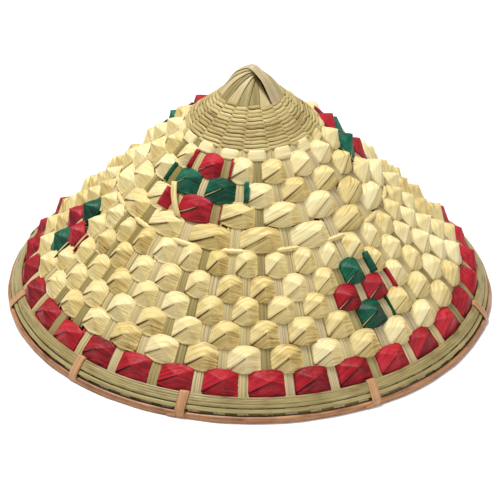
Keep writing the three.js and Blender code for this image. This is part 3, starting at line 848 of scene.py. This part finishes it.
# ---------- rim ----------
CLEARANCE = 0.3            # between the layers of the rim
FOOT_BAND = 0.5            # thickness of the band that holds the splints' feet
SPLINT_FOOT = 2.2          # slant distance where the splints end
NARROW_LOW = SPLINT_FOOT + 1.3
NARROW_HIGH = NARROW_LOW + 3.4
WIDE_LOW = NARROW_HIGH + 1.0
HOOP_TOP = WIDE_LOW + 9.0
HOOP_BASE = SPLINT_THICK + CLEARANCE + FOOT_BAND + CLEARANCE
HOOP_THICK = 2.0
HOOP_SWAY = 0.12           # how far a hoop strays up and down
INNER_TOP = HOOP_TOP - 0.2
INNER_NEAR, INNER_FAR = -1.1, -3.1     # the inner hoop's two faces, below the splints' surface


def fine_outline(outline, steps, softenings=0):
    """A closed outline with each side cut into steps, and its corners softened."""
    outline = np.array(outline)
    along = np.linspace(0, 1, steps + 1)[:-1, None]
    dense = np.concatenate([here + (after - here) * along
                            for here, after in zip(outline, np.roll(outline, -1, 0))])
    for _ in range(softenings):
        dense = (np.roll(dense, 1, 0) + 2 * dense + np.roll(dense, -1, 0)) / 4
    return np.concatenate([dense, dense[:1]])


def hoop(name, node, outline, tone):
    """A bamboo strip bent into a ring. outline is a closed list of (slant distance, distance out)."""
    outline = fine_outline(outline, 4, softenings=2)
    s, n = outline[None, :, 0], outline[None, :, 1]
    degrees = np.linspace(0, 360, 360, endpoint=False)[:, None]
    a = np.radians(degrees)
    sway = HOOP_SWAY * (np.sin(3 * a + tone * 9) + 0.6 * np.sin(8 * a + tone * 5))
    sheets = Sheets()
    sheets.grid(place(degrees, s + sway, n), together(degrees * 3.6, s + n), tone, closed=True)
    finish_piece(sheets.build(name, GREEN_BAMBOO, sharp=50), "green_bamboo", node)


def grooved(s0, s1, n0, n1, grooves):
    """Outline of a strip whose outer face has grooves, given as (share of the width, depth)."""
    top = []
    for share in np.linspace(1, 0, 25):
        depth = sum(d * math.exp(-(((share - g) / 0.035) ** 2)) for g, d in grooves)
        rounded = 0.45 * (abs(2 * share - 1) ** 6)
        top.append((s0 + (s1 - s0) * share, n1 - depth - rounded))
    return [(s0, n0), (s1, n0)] + top


def inner_outline():
    """Outline of the inner hoop, whose inner face is a little rounded."""
    stations = np.linspace(SPLINT_FOOT, INNER_TOP, 15)
    face = [(s, INNER_FAR + 0.4 * (abs(s - 9.5) / 7.3) ** 4) for s in stations]
    return [(SPLINT_FOOT, INNER_NEAR)] + face + [(INNER_TOP, INNER_NEAR)]


WIDE_GROOVES = [(0.78, 0.5), (0.3, 0.35), (0.52, 0.2)]
hoop("wide_outer_hoop", "outer_hoop",
     grooved(WIDE_LOW, HOOP_TOP, HOOP_BASE, HOOP_BASE + HOOP_THICK, WIDE_GROOVES), 0.55)
hoop("narrow_outer_hoop", "narrow_hoop",
     grooved(NARROW_LOW, NARROW_HIGH, HOOP_BASE, HOOP_BASE + 1.5, []), 0.75)
hoop("inner_hoop_strip", "inner_hoop", inner_outline(), 0.3)


def edge_strip():
    """Brown rattan strip round the edge: flat below, rounded outside, and a little uneven."""
    inner, outer = RIM_RADIUS - 7.5, RIM_RADIUS
    outline = fine_outline([
        (inner, 0.0), (outer - 0.8, 0.0), (outer - 0.1, 0.7), (outer, 2.2), (outer - 0.1, 3.9),
        (outer - 0.9, 4.9), (outer - 2.4, 5.3), (outer - 4.6, 3.4), (inner + 0.4, 0.9),
    ], 3)
    out, up = outline[None, :, 0], outline[None, :, 1]
    degrees = np.linspace(0, 360, 540, endpoint=False)[:, None]
    a = np.radians(degrees)
    uneven = 0.18 * (np.sin(9 * a + 1) + np.sin(23 * a + 4) + 0.7 * np.sin(41 * a))
    splice = 0.35 * smooth(0.0, 0.5, np.abs(((degrees + 3) % 24) - 12) / 12 - 0.86)
    radius = out + np.minimum(uneven - splice, 0.25) * (up > 0.5)
    height = up + 0.5 * uneven * (up > 2)
    sheets = Sheets()
    sheets.grid(round_axis(a, radius, height), together(degrees * 3.6, up + 0.4 * out), 0.3, closed=True)
    finish_piece(sheets.build("rattan_edge_strip", RATTAN, sharp=50), "rattan", "edge_strip")


edge_strip()

LASHING_THICK = 0.9
LASHING_SLOTS = [-28, -21, -15, -9, -4, 4, 12, 19, 25, 31]
TAILS = {-4: -1, 4: -1, 19: 1, -21: 1}     # lashings whose end shows, and the side that it lies on


def lashing(number, slot):
    """One flat turn of rattan round the hoops, the splint ends and the edge strip."""
    high = HOOP_BASE + HOOP_THICK + CLEARANCE + LASHING_THICK
    low = INNER_FAR - LASHING_THICK
    top = HOOP_TOP + 1.2
    outline = np.array([
        cone(top, high - 0.5), cone(top - 2.5, high), cone(9, high), cone(NARROW_LOW, high - 0.2),
        (RIM_RADIUS + 0.3, 6.0), (RIM_RADIUS + 0.5, 3.0), (RIM_RADIUS + 0.2, 0.4),
        (RIM_RADIUS - 1.5, 0.0), (RIM_RADIUS - 7.0, 0.0),
        cone(2.0, low + 0.3), cone(9, low), cone(top - 1.5, low), cone(top, low + 0.8),
        cone(top + 0.4, -1.5), cone(top + 0.4, 2.0),
    ])
    for _ in range(2):
        after = np.roll(outline, -1, 0)
        outline = np.stack([0.75 * outline + 0.25 * after, 0.25 * outline + 0.75 * after], 1).reshape(-1, 2)
    outline[:, 1] = np.maximum(outline[:, 1], 0.0)
    across = np.linspace(-1, 1, 9)[None, :]
    middle = outline.mean(0)
    away = outline - middle
    away = away / np.linalg.norm(away, axis=1, keepdims=True)
    crown = 0.35 * (1 - across ** 2) - 0.35
    radius = outline[:, :1] + away[:, :1] * crown
    height = np.maximum(outline[:, 1:] + away[:, 1:] * crown, 0.0)
    lean = rng.normal(0, 0.06)
    side = across * 4.1 + lean * (outline[:, 1:] - 8)
    at = math.radians(angle_of(slot + 0.5))
    points = round_axis(at + side / radius, radius, height)
    run = np.arange(len(outline))[:, None] * 1.1
    fibre = together(run, side) + rng.uniform(0, 300, 2)
    around = round_axis(at, *middle)
    tone = rng.uniform(0.6, 1.0)
    sheets = Sheets()
    sheets.grid(points, fibre, tone, closed=True, around=around)
    if slot in TAILS:
        along = np.linspace(0, 1, 7)[:, None]
        up = np.linspace(-1, 1, 5)[None, :]
        aside = TAILS[slot] * (3.5 + 7.0 * along)
        radius = RIM_RADIUS + 0.9 - 0.3 * up ** 2 - 0.3 * along
        height = 2.7 + 1.7 * up * (1 - 0.3 * along) - 0.9 * along
        tail = round_axis(at + aside / RIM_RADIUS, radius, height)
        sheets.grid(tail, together(aside, up * 1.7), tone, around=around)
    node = f"rattan_lashing_{number + 1:02d}"
    finish_piece(sheets.build("bound_" + node, RATTAN, thickness=0.6), "rattan", node)


for number, slot in enumerate(LASHING_SLOTS):
    lashing(number, slot)


# ---------- stage, light and camera ----------
def build_stage():
    floor_mesh = bpy.data.meshes.new("floor")
    half = 3.0
    corners = [(-half, -half, 0), (half, -half, 0), (half, half, 0), (-half, half, 0)]
    floor_mesh.from_pydata(corners, [], [(0, 1, 2, 3)])
    floor = bpy.data.objects.new("floor", floor_mesh)
    bpy.context.scene.collection.objects.link(floor)
    m = Material("floor")
    grain = m.noise(m.node("TexCoord").outputs["Object"], scale=3.0)
    m.feed(m.shader.inputs["Base Color"], m.mix(grain, linear(250, 250, 250), linear(252, 252, 252)))
    m.shader.inputs["Roughness"].default_value = 0.7
    floor_mesh.materials.append(m.material)


def area_light(name, place_at, target, size, energy):
    lamp = bpy.data.lights.new(name, "AREA")
    lamp.size = size
    lamp.energy = energy
    holder = bpy.data.objects.new(name, lamp)
    holder.location = place_at
    direction = Vector(target) - Vector(place_at)
    holder.rotation_euler = direction.to_track_quat("-Z", "Y").to_euler()
    bpy.context.scene.collection.objects.link(holder)


def build_light():
    world = bpy.data.worlds.new("studio")
    world.use_nodes = True
    world.node_tree.nodes["Background"].inputs[0].default_value = (1, 1, 1, 1)
    world.node_tree.nodes["Background"].inputs[1].default_value = 0.36
    bpy.context.scene.world = world
    area_light("key", (-0.42, 0.3, 1.85), (0, 0, 0.05), 0.35, 34)
    area_light("fill", (1.1, -1.2, 1.1), (0, 0, 0.1), 1.0, 7)


ELEVATION = 31.92          # degrees
ROLL = 0.8
DISTANCE = 10 * RIM_RADIUS * MM
FOCAL_SHARE = 4.803        # focal length over image width
LOOK_UP = 0.0147           # slope by which the aim passes above the middle of the rim


def build_camera():
    e, roll = math.radians(ELEVATION), math.radians(ROLL)
    position = Vector((0, -DISTANCE * math.cos(e), DISTANCE * math.sin(e)))
    forward = -position.normalized()
    right = Vector((1, 0, 0))
    up = right.cross(forward)
    forward = (forward + up * LOOK_UP).normalized()
    up = right.cross(forward)
    across = math.cos(roll) * right + math.sin(roll) * up
    above = -math.sin(roll) * right + math.cos(roll) * up
    lens = bpy.data.cameras.new("camera")
    lens.sensor_width = 36
    lens.lens = FOCAL_SHARE * 36
    camera = bpy.data.objects.new("camera", lens)
    turn = Matrix((across, above, -forward)).transposed().to_4x4()
    camera.matrix_world = Matrix.Translation(position) @ turn
    bpy.context.scene.collection.objects.link(camera)
    bpy.context.scene.camera = camera


build_stage()
build_light()
build_camera()
bpy.context.scene.view_settings.view_transform = "Standard"
